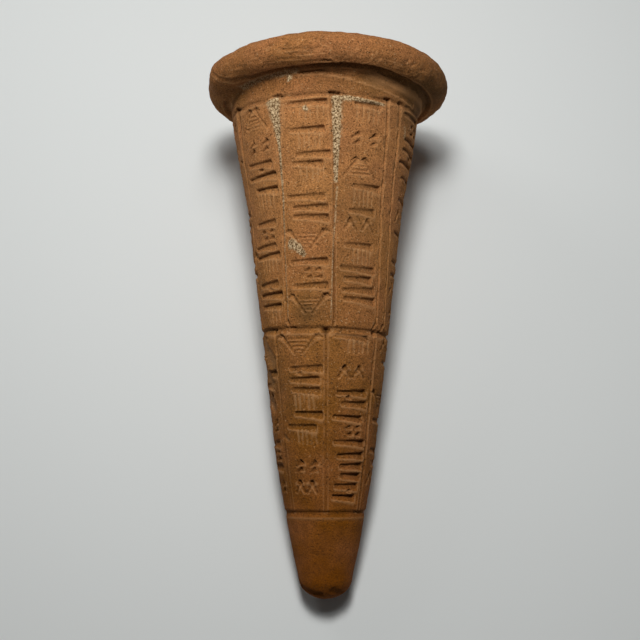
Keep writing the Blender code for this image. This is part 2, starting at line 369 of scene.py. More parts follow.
def chevron(draw):
    """Two slanted strokes that run together towards the tip, or apart."""
    height = draw.uniform(*CHEVRON_HEIGHT)
    middle = draw.uniform(-CHEVRON_PLAY, CHEVRON_PLAY)
    near, far = WIDE_END, NARROW_END
    if draw.random() >= TIPWARD_SHARE:
        near, far = far, near
    return [
        (SLANT, middle - near, 0.0, middle - far, height),
        (SLANT, middle + near, 0.0, middle + far, height),
    ], height


def peaks(draw):
    """Two small pointed roofs, side by side."""
    marks = []
    for middle in PEAK_MIDDLES:
        middle += draw.uniform(-PEAK_PLAY, PEAK_PLAY)
        for side in (-PEAK_SPREAD, PEAK_SPREAD):
            marks.append((SLANT, middle, 0.0, middle + side, PEAK_HEIGHT))
    return marks, PEAK_HEIGHT


def ticks(draw):
    """Two short deep wedge heads, side by side."""
    marks = []
    for middle in TICK_MIDDLES:
        down = draw.uniform(*TICK_DOWN)
        marks.append((TICK, middle + TICK_SLANT, down, middle - TICK_SLANT, down + TICK_LENGTH))
    return marks, TICKS_HEIGHT


# %% Groups down a case
STROKE_SEED = 41
CASE_MARGIN = 1.5
GAP_PLAY = 1.5
USED_WIDTH = 0.78
GROUPS = (bar_pair, bar_frame, bar_triple, bar_comb, chevron, peaks, ticks)


def case_groups(draw, head_end, tip_end, gap):
    """Groups of strokes down one case, each as its kind, its place, its marks and its height."""
    groups = []
    down = head_end - CASE_MARGIN
    kind = None
    while True:
        kind = draw.choice([group for group in GROUPS if group is not kind])
        marks, height = kind(draw)
        if down - height < tip_end + CASE_MARGIN:
            return groups
        groups.append((kind, down, marks, height))
        down -= height + gap + draw.uniform(0.0, GAP_PLAY)


def placed(marks, down, left_line, right_line):
    """A group's marks on the skin of a case, as (kind, s, theta, s, theta) from head to tail."""
    strokes = []
    for kind, across0, below0, across1, below1 in marks:
        ends = []
        for across, below in ((across0, below0), (across1, below1)):
            s = down - below
            left, right = ruled_angle(left_line, s), ruled_angle(right_line, s)
            ends += [s, (left + right) / 2 + (right - left) / 2 * USED_WIDTH * across]
        strokes.append((kind, *ends))
    return strokes


# %% [markdown]
# ## Finer strokes
#
# Thin strokes fill the frames and chevrons of the real cone. They are too fine for the packed
# model, so only this mesh has them. A bump in the material could stand for them, but it would
# catch no light at its edges, so they are cut like the main strokes. Their draw is a second one,
# which leaves the main draw as it is in the imported model.

# %% Kinds of finer strokes
# The thin uprights carry pale dust and a painted highlight of their lit walls.
UPRIGHT = Kind(0.55, 0.4, 0.4, 0.25, 1.0, -0.45)
HATCH = Kind(0.5, 0.4, 0.38, 0.25, 1.0, 0.0)
SMALL_TICK = Kind(1.0, 0.3, 0.85, 0.25, 0.8, 1.0)
UPRIGHTS = 5
UPRIGHT_SHARE = 0.6  # of the frames, and the others hold small ticks
FRAME_TICKS = ((2.0, 2.4, (-0.2, 0.35)), (3.6, 3.9, (-0.1, 0.4)))
HATCH_START, HATCH_STOP, HATCH_PITCH = 0.9, 0.6, 0.8
HATCH_MARGIN = 0.16
HATCH_SLOPE = 0.08


def uprights(draw, first, pitch, above, below):
    """A row of thin strokes along the case, side by side."""
    marks = []
    for tooth in range(UPRIGHTS):
        place = first + pitch * tooth + draw.uniform(-0.02, 0.02)
        marks.append((UPRIGHT, place, above, place + draw.uniform(-0.03, 0.03), below))
    return marks


def fill_frame(draw, marks, height):
    if draw.random() < UPRIGHT_SHARE:
        return uprights(draw, first=-0.3, pitch=0.24, above=1.0, below=height - 0.9)
    extra = []
    for top, bottom, places in FRAME_TICKS:
        extra += [(SMALL_TICK, place + 0.25, top, place, bottom) for place in places]
    return extra


def fill_comb(draw, marks, height):
    return uprights(draw, first=-0.25, pitch=0.26, above=0.8, below=height)


def fill_chevron(draw, marks, height):
    """Thin lines between the two slants, and a small wedge at the outer end of each."""
    (_, left0, _, left1, _), (_, right0, _, right1, _) = marks
    extra = []
    for down in np.arange(HATCH_START, height - HATCH_STOP, HATCH_PITCH):
        t = down / height
        left = left0 + (left1 - left0) * t + HATCH_MARGIN
        right = right0 + (right1 - right0) * t - HATCH_MARGIN
        if right - left > 0.15:
            slope = draw.uniform(-HATCH_SLOPE, HATCH_SLOPE)
            extra.append((HATCH, right, down, left, down + slope))
    extra.append((SMALL_TICK, left0 - 0.08, -0.2, left0 - 0.3, 0.5))
    extra.append((SMALL_TICK, right0 + 0.08, -0.2, right0 + 0.3, 0.5))
    return extra


def fill_ticks(draw, marks, height):
    """A small wedge under each of the two."""
    return [(SMALL_TICK, middle + 0.16, 2.1, middle - 0.14, 2.9) for middle in TICK_MIDDLES]


def fill_bars(draw, marks, height):
    """A small wedge under the first bar."""
    place = draw.uniform(-0.3, 0.4)
    return [(SMALL_TICK, place + 0.2, 1.2, place, 1.4)]


def no_fill(draw, marks, height):
    return []


# %% All the strokes
FINE_SEED = 7
FILLS = {
    bar_frame: fill_frame, bar_comb: fill_comb, chevron: fill_chevron,
    ticks: fill_ticks, bar_pair: fill_bars, bar_triple: no_fill, peaks: no_fill,
}
draw = random.Random(STROKE_SEED)
fine_draw = random.Random(FINE_SEED)
strokes, fine_strokes = [], []
for left_line, right_line, head_end, tip_end, gap in cases():
    for kind, down, group, height in case_groups(draw, head_end, tip_end, gap):
        strokes += placed(group, down, left_line, right_line)
        extra = FILLS[kind](fine_draw, group, height)
        fine_strokes += placed(extra, down, left_line, right_line)
print(len(strokes), "main strokes and", len(fine_strokes), "fine ones")

# %% [markdown]
# ## Marks in the clay
#
# Each ring, line, stroke, crease, chip and crack is a mark: a path over the turned form with a
# width and a depth at each of its points. How deep a point of the skin is pushed in depends only
# on its distance from the path, so one function serves them all. Cutting each mark with a
# Boolean would give sharp machine edges; pushing the skin in keeps them soft, as in clay. Some
# strokes are worn faint, some packed with dark dirt and painted shade, and the finest with pale
# dust and painted highlight.

# %% Marks and their paths
class Mark(NamedTuple):
    """A path of points in mm, with a width and a depth at each of them."""
    points: np.ndarray
    widths: np.ndarray
    depths: np.ndarray
    steep: float = 0.0  # how much narrower the wall on the head side is, as a share
    flat: float = 1.1  # 1 is a sharp groove, 2 a round trough, 6 a flat floor
    lip: float = 0.05
    # Dark dirt and painted shade in the hollow; the rings, the fold and the crease take this.
    dirt: float = 0.5
    flake: bool = False  # a flake takes away what was cut into the skin it carried


def neck_radius(s):
    """The radius of the shank and of the neck above it."""
    return np.where(np.asarray(s) > SHOULDER_RING, smooth_between(NECK_STATIONS, s), shank_radius(s))


def skin_points(stations):
    """Points of the turned shank and neck from (s, degrees) pairs, in mm."""
    s, degrees = np.array(stations, float).T
    theta, r = np.radians(degrees), neck_radius(s)
    return np.stack([r * np.sin(theta), s, r * np.cos(theta)], 1)


def roll_points(stations):
    """Points of the turned rolled edge from (turn, degrees) pairs, in mm."""
    points = []
    for turn, degrees in stations:
        s, r = roll_section(turn)
        theta = math.radians(degrees)
        points.append((r * math.sin(theta), s, r * math.cos(theta)))
    return np.array(points)


# %% The strokes as marks
PATH_STEP = 1.2
STROKE_STEEP = 0.65
WEAR_SEED = 12
FAINTEST, BOLDEST = 0.55, 1.1
SHARP_SIDE = math.radians(50), math.radians(98)  # the right side was rubbed least
SHARPER = 1.5
# The sharper strokes take more dark dirt and painted shade.
SHARP_DIRT_AND_SHADE = 0.9


def stroke_mark(kind, s0, theta0, s1, theta1, strength):
    """A wedge: wide and deep at its head, thin and shallow at its tail."""
    length = math.hypot(s1 - s0, float(shank_radius(s0)) * (theta1 - theta0))
    shares = np.linspace(0, 1, max(2, math.ceil(length / PATH_STEP)) + 1)
    fade = np.exp(-shares * length / kind.head_reach)
    stations = [(s0 + (s1 - s0) * t, math.degrees(theta0 + (theta1 - theta0) * t)) for t in shares]
    widths = kind.tail_width + (kind.head_width - kind.tail_width) * fade
    depths = strength * (kind.tail_depth + (kind.head_depth - kind.tail_depth) * fade)
    return Mark(skin_points(stations), widths, depths, steep=STROKE_STEEP, dirt=kind.dirt)


wear_draw = random.Random(WEAR_SEED)
marks = []
for kind, s0, theta0, s1, theta1 in strokes + fine_strokes:
    strength = wear_draw.uniform(FAINTEST, BOLDEST)
    if s0 > MIDDLE_RING and SHARP_SIDE[0] < theta0 < SHARP_SIDE[1]:
        strength *= SHARPER
        kind = kind._replace(dirt=SHARP_DIRT_AND_SHADE)
    marks.append(stroke_mark(kind, s0, theta0, s1, theta1, strength))
print("the strokes make", len(marks), "marks")

# %% Lengthwise lines
LINE_STEP = 2.0
LINE_WIDTH, LINE_DEPTH = 0.75, 0.6
STRIP_LINES = (1, 2)
STRIP_LIP, LINE_LIP, FADED_LIP = 0.13, 0.06, 0.04
STRIP_OPENING, CASE_OPENING = 0.2, 1.8  # how much wider a line is at its head
OPENING_START, OPENING_END = 96, 112
LOW_LINE_WIDTH = 0.8
LOW_LINE_DEPTH = (0.03, 0.5)  # where it has faded, and what it has more at its head
# Dark dirt and painted shade in the lengthwise lines.
LINE_DIRT_AND_SHADE = 0.4


def line_mark(line, index):
    """A lengthwise line of the upper column; those of the written cases open out at the head."""
    rows = np.arange(MIDDLE_RING, SHOULDER_RING, LINE_STEP)
    points = skin_points([(s, math.degrees(float(ruled_angle(line, s)))) for s in rows])
    beside_strip = index in STRIP_LINES
    wider = STRIP_OPENING if beside_strip else CASE_OPENING
    widths = LINE_WIDTH + smooth_step(OPENING_START, OPENING_END, rows) * wider
    lip = STRIP_LIP if beside_strip else LINE_LIP
    return Mark(points, widths, np.full(len(rows), LINE_DEPTH), lip=lip, dirt=LINE_DIRT_AND_SHADE)


def low_line_mark(line):
    """A lengthwise line of the lower column; only the first reaches far down."""
    first = line == LOW_FIRST_LINE
    rows = np.arange(LOW_RING, MIDDLE_RING, LINE_STEP)
    points = skin_points([(s, math.degrees(line)) for s in rows])
    faint, more = LOW_LINE_DEPTH
    depths = faint + more * (smooth_step(24, 34, rows) if first else smooth_step(40, 58, rows))
    lip = STRIP_LIP if first else FADED_LIP
    return Mark(points, np.full(len(rows), LOW_LINE_WIDTH), depths, lip=lip, dirt=LINE_DIRT_AND_SHADE)


marks += [line_mark(line, index) for index, line in enumerate(line_angles())]
marks += [low_line_mark(line) for line in low_line_angles()]

# %% Rings, and the holes and notches on them
RING_TURNS = np.linspace(-180, 180, 145)
RINGS = (
    # s, width, depth, steep, waver, lip
    (LOW_RING, 1.5, 0.55, 0.55, 0.1, 0.025),
    (LOW_RING - 1.5, 0.6, 0.12, 0.3, 0.1, 0.0),
    (MIDDLE_RING, 1.5, 0.7, 0.5, 0.12, 0.05),
    (SHOULDER_RING, 1.1, 0.45, 0.5, 0.35, 0.05),
)
# The holes at the lines' heads are filled with dark dirt and painted shade.
HOLE_AT_LINE_END = Kind(1.3, 0.9, 1.5, 1.2, 2.0, 1.0)
HOLE_REACH, STRIP_HOLE_REACH = math.radians(3.2), math.radians(1.6)
HOLE_S = (113.5, 113.7)
NOTCHES = ((60.8, 0.3, 3.0), (60.8, 49.0, 2.4), (60.8, -52.0, 1.6))
NOTCH_LENGTH = 1.8
NOTCH_TAIL_WIDTH = 0.3
NOTCH_DEPTHS = (1.7, 0.5)


def ring_mark(s, width, depth, steep, waver, lip):
    """A ring that wavers along the axis and is deeper in some places than in others."""
    theta = np.radians(RING_TURNS)
    round_points = np.stack([np.sin(theta), np.full(len(theta), s), np.cos(theta)], 1)
    shift = waver * noise_at(round_points, 6.0, 3.0)
    deeper = 1 + 0.35 * noise_at(round_points, 4.0, 8.0)
    points = skin_points(np.stack([s + shift, RING_TURNS], 1))
    return Mark(points, np.full(len(theta), width), depth * deeper, steep=steep, lip=lip)


marks += [ring_mark(*ring) for ring in RINGS]
for index, line in enumerate(line_angles()):
    theta = float(ruled_angle(line, SHOULDER_RING))
    reach = STRIP_HOLE_REACH if index in STRIP_LINES else HOLE_REACH
    start, end = HOLE_S
    marks.append(stroke_mark(HOLE_AT_LINE_END, start, theta + reach, end, theta - reach, 1.0))
for s, degrees, width in NOTCHES:
    path = skin_points([(s, degrees), (s - NOTCH_LENGTH, degrees)])
    widths = np.array([width, NOTCH_TAIL_WIDTH])
    marks.append(Mark(path, widths, np.array(NOTCH_DEPTHS), dirt=1.0))
print("with the ruling there are", len(marks))

# %% [markdown]
# ## The fold under the head
#
# The roll of the head was folded down over the neck: the fold is deep on the right and pressed
# shut on the left, and a fainter crease runs under it. A second roll of mesh could overlap the
# first, but nothing shows under the fold, so one deep mark along the roll is enough.

# %% The fold
FOLD = (
    # degrees, turn on the roll, width, depth
    (-66, 4, 0.9, 0.35), (-63, -20, 1.0, 0.2), (-59, -47, 1.2, 0.1), (-50, -66, 1.6, 0.1),
    (-41, -80, 1.6, 0.3), (-29, -88, 1.8, 0.7), (-14, -88, 2.0, 1.1), (-5, -84, 2.2, 1.4),
    (7, -80, 2.4, 1.7), (17, -79, 2.6, 1.8), (26, -84, 2.6, 1.8), (34, -88, 2.6, 1.7),
    (41, -92, 2.4, 1.5), (52, -95, 2.2, 1.1), (64, -97, 2.0, 0.8), (90, -99, 1.8, 0.6),
    (140, -99, 1.8, 0.5), (190, -99, 1.8, 0.5), (240, -99, 1.8, 0.5), (280, -97, 1.8, 0.5),
)
FOLD_STEP = 5.0
NECK_CREASE = (
    # s, degrees
    (116.6, -16), (116.7, -5), (116.3, 10), (115.9, 24), (115.5, 38), (115.0, 54), (114.6, 66),
)
fold = np.array(FOLD, float)
degrees = np.arange(fold[0, 0], fold[-1, 0], FOLD_STEP)
turns, widths, depths = (np.interp(degrees, fold[:, 0], column) for column in fold[:, 1:].T)
# The fold and the crease under it take the default dark dirt, mostly painted shade under the roll.
marks.append(Mark(roll_points(zip(turns, degrees)), widths, depths, steep=0.5, flat=1.2))
count = len(NECK_CREASE)
marks.append(Mark(
    skin_points(NECK_CREASE), np.linspace(0.6, 1.0, count), np.linspace(0.3, 0.2, count), steep=0.3,
))
print("the fold is", max(depths), "mm deep")

# %% [markdown]
# ## Cracks, dents and wrinkles
#
# The clay of the roll cracked a little as it was bent, and fingers left short slanted dents and
# wrinkles in it. The cracks that stand out are listed one by one. The dents and wrinkles are many
# and all alike, so a seeded draw places them.

# %% Cracks of the roll
ROLL_CRACKS = (
    # stations (turn, degrees), width, depth
    (((-10, -21), (-14, -17), (-13, -13), (-19, -7)), 0.7, 0.3),
    (((-26, -16), (-31, -10), (-28, -6), (-29, -1)), 0.6, 0.15),
    (((8, -1), (1, -2), (-6, 1), (-19, 2.4)), 0.7, 0.25),
    (((9, -28), (8, -25)), 0.9, 0.3),
    (((-56, -2), (-60, 2)), 0.9, 0.35),
    (((-40, -22), (-43, -18), (-46, -14)), 0.6, 0.15),
)
for stations, width, depth in ROLL_CRACKS:
    count = len(stations)
    widths = width * np.linspace(1.2, 0.6, count)
    marks.append(Mark(roll_points(stations), widths, np.full(count, depth), steep=0.4, dirt=0.3))

# %% Dents and wrinkles of the roll
DENTS, DENT_SEED = 60, 5
DENT_WIDTHS = np.array([0.9, 0.5])
WRINKLES, WRINKLE_SEED = 36, 9
WRINKLE_WIDTHS = np.array([0.4, 0.7, 0.4])
WRINKLE_SHARES = np.array([0.4, 1.0, 0.4])
WRINKLE_BEND = 2

draw = random.Random(DENT_SEED)
for _ in range(DENTS):
    degrees = draw.uniform(0, 68)
    turn = draw.uniform(-66, -24)
    end = turn + draw.uniform(5, 22), degrees + draw.uniform(-1, 4)
    depth = draw.uniform(0.05, 0.2)
    path = roll_points([(turn, degrees), end])
    depths = np.array([depth, depth / 3])
    marks.append(Mark(path, DENT_WIDTHS, depths, flat=2.0, lip=0.03, dirt=0.0))

draw = random.Random(WRINKLE_SEED)
for _ in range(WRINKLES):
    turn = draw.uniform(-62, 45)
    degrees = draw.uniform(-60, 66)
    length = draw.uniform(3, 11)
    slope = draw.uniform(-9, 9)
    depth = draw.uniform(0.08, 0.22)
    path = roll_points([
        (turn, degrees),
        (turn + slope / 2 + WRINKLE_BEND, degrees + length / 2),
        (turn + slope, degrees + length),
    ])
    marks.append(Mark(path, WRINKLE_WIDTHS, depth * WRINKLE_SHARES, steep=0.3, lip=0.02, dirt=0.3))

# %% [markdown]
# ## Flakes and wear
#
# Flakes have come off the left edge of the lower column and taken the strokes there with them,
# the end of the tip is worn, and faint scuffs run across the tip. A flake is a flat-floored mark
# that also clears what was cut inside it.

# %% Flakes, the worn end and scuffs
FLAKES = (
    # stations (s, degrees), width, depth
    (((59.5, -84), (57, -72), (54, -58)), 4.6, 0.55),
    (((54, -90), (51, -76), (49, -64)), 3.6, 0.45),
    (((47.5, -88), (45.5, -76), (43.5, -66)), 4.0, 0.6),
    (((41.5, -92), (38, -84), (35, -78)), 2.4, 0.4),
    (((80, -74), (79, -68)), 1.6, 0.5),
    (((37, -50), (36, -44)), 1.2, 0.3),
)
TIP_WEAR = (
    (((3.0, -75), (1.6, -40), (1.2, -10)), 2.2, 0.5),
    (((2.4, 18), (1.4, 60)), 2.0, 0.45),
    (((4.5, -85), (3.2, -70)), 1.8, 0.4),
)
SCUFFS, SCUFF_SEED = 16, 3
SCUFF_WIDTHS, SCUFF_DEPTHS = np.array([0.6, 0.4]), np.array([0.09, 0.03])


def chip_mark(stations, width, depth, dirt, flake):
    """A flat-floored hollow, a little narrower at its far end."""
    count = len(stations)
    return Mark(
        skin_points(stations), width * np.linspace(1.1, 0.8, count), np.full(count, depth),
        steep=0.3, flat=3.0, lip=0.0, dirt=dirt, flake=flake,
    )


marks += [chip_mark(*chip, dirt=0.35, flake=False) for chip in TIP_WEAR]
marks += [chip_mark(*chip, dirt=-0.15, flake=True) for chip in FLAKES]
draw = random.Random(SCUFF_SEED)
for _ in range(SCUFFS):
    s, degrees = draw.uniform(4, 17), draw.uniform(-70, 50)
    end = s + draw.uniform(-0.5, 0.5), degrees + draw.uniform(12, 30)
    path = skin_points([(s, degrees), end])
    marks.append(Mark(path, SCUFF_WIDTHS, SCUFF_DEPTHS, lip=0.0, dirt=0.2))
print(len(marks), "marks in all")

# %% [markdown]
# ## Finer where it matters
#
# An even mesh fine enough for a half-millimetre stroke would pass half a million faces. We cut
# only the edges that run across a mark and are still too long for it: once everywhere, and once
# more on the sides and top.

# %% Points near a path
BLUNT = 2.5  # a path's ends are cut nearly square, as a stick leaves them


class Near(NamedTuple):
    """Points near a path: which ones, how far, at which place along it, and how it runs there."""
    index: np.ndarray
    distance: np.ndarray
    place: np.ndarray
    heading: np.ndarray
    tipward: np.ndarray


class Cloud:
    """Points sorted along the axis, so that those near a path are found quickly."""

    def __init__(self, points):
        self.order = np.argsort(points[:, 1])
        self.points = points[self.order]

    def near(self, path, reach):
        """The points within reach of a path, as a Near."""
        low_corner, high_corner = path.min(0) - reach, path.max(0) + reach
        first, last = np.searchsorted(self.points[:, 1], (low_corner[1], high_corner[1]))
        part = self.points[first:last]
        close = first + np.nonzero(((part > low_corner) & (part < high_corner)).all(1))[0]
        points = self.points[close]
        best = np.full(len(close), np.inf)
        place, tipward = np.zeros(len(close)), np.zeros(len(close))
        heading = np.zeros((len(close), 3))
        last = len(path) - 2
        for index, (start, end) in enumerate(zip(path, path[1:])):
            along = end - start
            unit = along / np.linalg.norm(along)
            t = np.clip((points - start) @ along / (along @ along), 0, 1)
            offset = points - start - t[:, None] * along
            past_end = ((index == 0) & (t == 0)) | ((index == last) & (t == 1))
            beyond = np.where(past_end, (BLUNT - 1) * (offset @ unit), 0)
            distance = np.linalg.norm(offset + beyond[:, None] * unit, axis=1)
            nearer = distance < best
            best[nearer] = distance[nearer]
            place[nearer] = index + t[nearer]
            heading[nearer] = unit
            tipward[nearer] = -offset[nearer, 1]
        inside = best < reach
        return Near(
            self.order[close[inside]], best[inside], place[inside], heading[inside], tipward[inside],
        )


# %% Refining along the marks
REACH = 0.35
HEAD_PART, TAIL_PART = 0.4, 0.2  # how much of a path's first and last stretch is its end
LONGEST, LONGEST_IN_SIGHT = 0.5, 0.31


def refine(mesh, marks, limit):
    """Cuts every edge that crosses one of the marks and is longer than the limit."""
    mesh.verts.index_update()
    mesh.edges.index_update()
    corners = np.array([vertex.co for vertex in mesh.verts])
    ends = np.array([[vertex.index for vertex in edge.verts] for edge in mesh.edges])
    start, end = corners[ends[:, 0]], corners[ends[:, 1]]
    along = end - start
    middles = Cloud((start + end) / 2)
    cut = np.zeros(len(ends), bool)
    for mark in marks:
        near = middles.near(mark.points, mark.widths.max() / 2 * (1 + mark.steep) + REACH)
        edges = along[near.index]
        run = (edges * near.heading).sum(1)
        length = np.linalg.norm(edges, axis=1)
        across = np.sqrt(np.maximum(length ** 2 - run ** 2, 0))
        last = len(mark.points) - 1
        at_end = (near.place < HEAD_PART) | (near.place > last - TAIL_PART)
        cut[near.index[np.where(at_end, length, across) > limit]] = True
    mesh.edges.ensure_lookup_table()
    chosen = [mesh.edges[index] for index in np.nonzero(cut)[0]]
    bmesh.ops.subdivide_edges(mesh, edges=chosen, cuts=1, use_grid_fill=True)
    print("cut", len(chosen), "edges;", len(mesh.faces), "faces")


def faces_up(mark):
    """Whether a mark lies on the sides or the top, where it is seen."""
    x, _, z = mark.points.mean(0)
    return z > UNDERSIDE * math.hypot(x, z)


refine(form, marks, LONGEST)
refine(form, [mark for mark in marks if faces_up(mark)], LONGEST_IN_SIGHT)
bmesh.ops.triangulate(form, faces=form.faces)
print(len(form.faces), "triangles")

# %% [markdown]
# ## Pushing the clay in
#
# At each point the deepest mark wins. The pushed clay rises in a small lip beside it, more on the
# side towards the tip. The edges of a mark are ragged and its depth is uneven, from noise, and
# some parts of the cone are more worn than others. The mesh's own points move, along their
# normals, so the relief is true geometry and casts shadows.

# %% Pushing the clay in
EDGE_NOISE = ((0.09, 1.3, 7.0), (0.05, 3.1, 17.0))
WORN = 0.4
UNEVEN = 0.3
LIP_AT = 1.15
LIP_SPREAD = 0.27
LIP_LEAN = 0.7  # the stick pushes the clay towards the tip
LIP_REACH = 1.7
DIRT_AND_SHADE_GATHER = 1.8  # dirt and painted shade lie deep in a groove, and little on its walls


def layered(points, layers):
    """Noises of several sizes added up: each layer is an amount, a scale and a seed."""
    return sum(amount * noise_at(points, scale, seed) for amount, scale, seed in layers)


def pushed(points):
    """How deep the marks push each point in, how high their lips stand, and how much dirt and
    painted shade they leave.
    """
    depth = np.zeros(len(points))
    lip = np.zeros(len(points))
    dirt = np.zeros(len(points))
    ragged = layered(points, EDGE_NOISE)
    worn = 1 - WORN * smooth_step(-0.1, 0.5, noise_at(points, 0.07, 21.0))
    worn *= 1 + UNEVEN * noise_at(points, 0.5, 13.0)
    cloud = Cloud(points)
    for mark in marks:
        near = cloud.near(mark.points, mark.widths.max() / 2 * (1 + mark.steep) * LIP_REACH + 0.2)
        steps = np.arange(len(mark.points))
        half = np.interp(near.place, steps, mark.widths) / 2
        half = half * (1 + mark.steep * np.clip(near.tipward / half, -1, 1))
        deep = np.interp(near.place, steps, mark.depths) * worn[near.index]
        x = np.maximum(near.distance + ragged[near.index], 0) / half
        share = 1 - np.minimum(x, 1) ** mark.flat
        if mark.flake:
            depth[near.index] += (deep - depth[near.index]) * share
            dirt[near.index] += (mark.dirt - dirt[near.index]) * share
            lip[near.index] *= 1 - share
            continue
        deeper = deep * share > depth[near.index]
        dirt[near.index[deeper]] = (mark.dirt * share ** DIRT_AND_SHADE_GATHER)[deeper]
        depth[near.index] = np.maximum(depth[near.index], deep * share)
        tip_side = 1 + LIP_LEAN * np.clip(near.tipward / half, -1, 1)
        rise = mark.lip * tip_side * np.exp(-(((x - LIP_AT) / LIP_SPREAD) ** 2)) * (x > 1)
        lip[near.index] = np.maximum(lip[near.index], rise)
    return depth, lip, dirt


form.normal_update()
turned = np.array([vertex.co for vertex in form.verts])
normals = np.array([vertex.normal for vertex in form.verts])
depth, lip, dirt = pushed(turned)
print("deepest mark", round(depth.max(), 2), "mm")

# %% [markdown]
# ## Dust in the grooves
#
# Pale gritty earth is packed into the tops of two lengthwise grooves, along the shoulder and in
# a few hollows. Each deposit is again a path with a width. It fills part of the mark below it.

# %% Deposits
FILLED = 0.6  # how much of a mark's depth a full deposit takes up
GRIT_HEIGHT = (0.05, 0.25)  # its least height in mm, and what the noise adds
DEPOSITS = (
    # stations (s, degrees), width at each end, strength
    (((94, 7.2), (104, 6.9), (112.6, 6.8)), (0.9, 2.8), 1.0),
    (((103, -30.5), (108, -31.0), (112.6, -32.5)), (1.0, 4.2), 0.8),
    (((84, -32.4), (92, -31.4), (103, -30.5)), (0.7, 1.0), 0.7),
    (((63, -34.2), (73, -33.7), (84, -32.4)), (0.6, 0.7), 0.5),
    (((63, 4.7), (78, 5.9), (93, 8.3)), (0.4, 0.7), 0.45),
    (((112.6, 10), (112.4, 22), (112.1, 38)), (1.5, 0.8), 0.8),
    (((80.6, -27.5), (79.6, -22.0), (77.6, -16.0)), (2.8, 1.2), 1.0),
    (((116.3, -22.4), (115.9, -21.4)), (1.2, 0.9), 1.0),
    (((110.6, -12.5), (109.8, -11.5)), (1.2, 1.3), 0.8),
    (((108.5, 59), (106, 61)), (1.6, 1.2), 0.5),
    (((117.0, -58), (117.0, -38), (116.9, -16)), (2.6, 1.6), 0.4),
)


def dusted(points):
    """How thickly each point is covered, from 0 to 1."""
    cover = np.zeros(len(points))
    patchy = 0.35 * noise_at(points, 0.9, 31.0)
    cloud = Cloud(points)
    for stations, (first_width, last_width), strength in DEPOSITS:
        path = skin_points(stations)
        near = cloud.near(path, max(first_width, last_width))
        half = np.interp(near.place, (0, len(path) - 1), (first_width, last_width)) / 2
        thick = strength * np.clip(1.5 * (1 - near.distance / half) + patchy[near.index] + 0.3, 0, 1)
        cover[near.index] = np.maximum(cover[near.index], thick * (near.distance < 1.3 * half))
    return cover


dust = dusted(turned)
depth = depth * (1 - FILLED * dust)
least, most = GRIT_HEIGHT
grit = dust * (least + most * np.abs(noise_at(turned, 1.9, 41.0)))
print("dust on", round(100 * (dust > 0).mean(), 1), "% of the points")

# %% [markdown]
# ## Stains, and painted shade under the fold
#
# Soot and soil have darkened the clay of the shank in soft-edged patches. Under the fold, most of
# all on the right, the same dark patches are painted shade beneath the roll. A painted image could
# hold them; a round spot that fades out is enough for each, with a noise to break up its edge.

# %% Stains and painted shade
STAINS_AND_FOLD_SHADE = (
    # s, degrees, spread in mm, strength
    # The spots at s 116 and 117 are painted shade under the roll; the others are stains.
    (64.5, -19, 3.0, 0.7), (66.0, -8, 3.5, 0.5), (88, 24, 6.0, 0.5), (75, 22, 5.0, 0.4),
    (117, -60, 6.0, 0.2), (116, 62, 7.0, 0.9), (117, 78, 7.0, 1.0), (116, 30, 4.0, 0.6),
    (116, 5, 5.0, 0.35), (52, -70, 6.0, 0.5), (46, -40, 5.0, 0.3), (28, -60, 6.0, 0.3),
)


def stain_and_shade_at(points):
    """How much dull dark stain and painted shade each point has, from 0 to 1."""
    stain_and_shade = np.zeros(len(points))
    for s, degrees, spread, strength in STAINS_AND_FOLD_SHADE:
        middle = skin_points([(s, degrees)])[0]
        stain_and_shade += strength * np.exp(-((np.linalg.norm(points - middle, axis=1) / spread) ** 2))
    return np.clip(stain_and_shade * (1 + 0.6 * noise_at(points, 0.35, 51.0)), 0, 1)


stain_and_shade = stain_and_shade_at(turned)

# %% [markdown]
# ## The hand in it
#
# Nothing made by hand is truly round. A slow noise swells and pinches the shank and the head, the
# head leans back a little, and its rim has fuller lobes. Sculpting could give the same. Here they
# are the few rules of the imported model, so the fine skin stays on its solid. Smaller hollows and
# lumps come on top.

# %% The handmade form
SHANK_WOBBLE = 0.15
HEAD_WOBBLE = 0.35
WOBBLE_SCALE = 0.045
LOBES = ((-66, 11, 0.7), (-30, 18, 0.35), (92, 22, 0.5))
LOBE_FOOT = 24.0


def handmade(points):
    """Points of the turned form, in mm, moved to where the hand left them."""
    x, s, z = points.T
    radius = np.hypot(x, z)
    theta = np.arctan2(x, z)
    on_head = smooth_step(NECK_START, HEAD_MIDDLE, s)
    lobe = np.zeros(len(points))
    for turn, spread, height in LOBES:
        away = (np.degrees(theta) - turn + 180) % 360 - 180
        lobe += height * np.exp(-((away / spread) ** 2))
    wobble = (SHANK_WOBBLE + (HEAD_WOBBLE - SHANK_WOBBLE) * on_head) * noise_at(points, WOBBLE_SCALE)
    wobble = wobble + lobe * smooth_step(LOBE_FOOT, HEAD_RADIUS, radius)
    radius = radius + wobble * smooth_step(0.0, TIP_RADIUS, radius)
    lean = smooth_step(NECK_START, HEAD_MIDDLE - ROLL_RADIUS, s)
    along = s + lean * math.sin(HEAD_LEAN) * radius * np.cos(theta)
    skew = 1 - smooth_step(0.0, SKEW_REACH, np.abs(s - MIDDLE_RING))
    along = along - skew * math.sin(RING_SKEW) * radius * np.sin(theta)
    side = radius * np.sin(theta) + lean * HEAD_SHIFT
    return np.stack([side, along, radius * np.cos(theta)], 1)


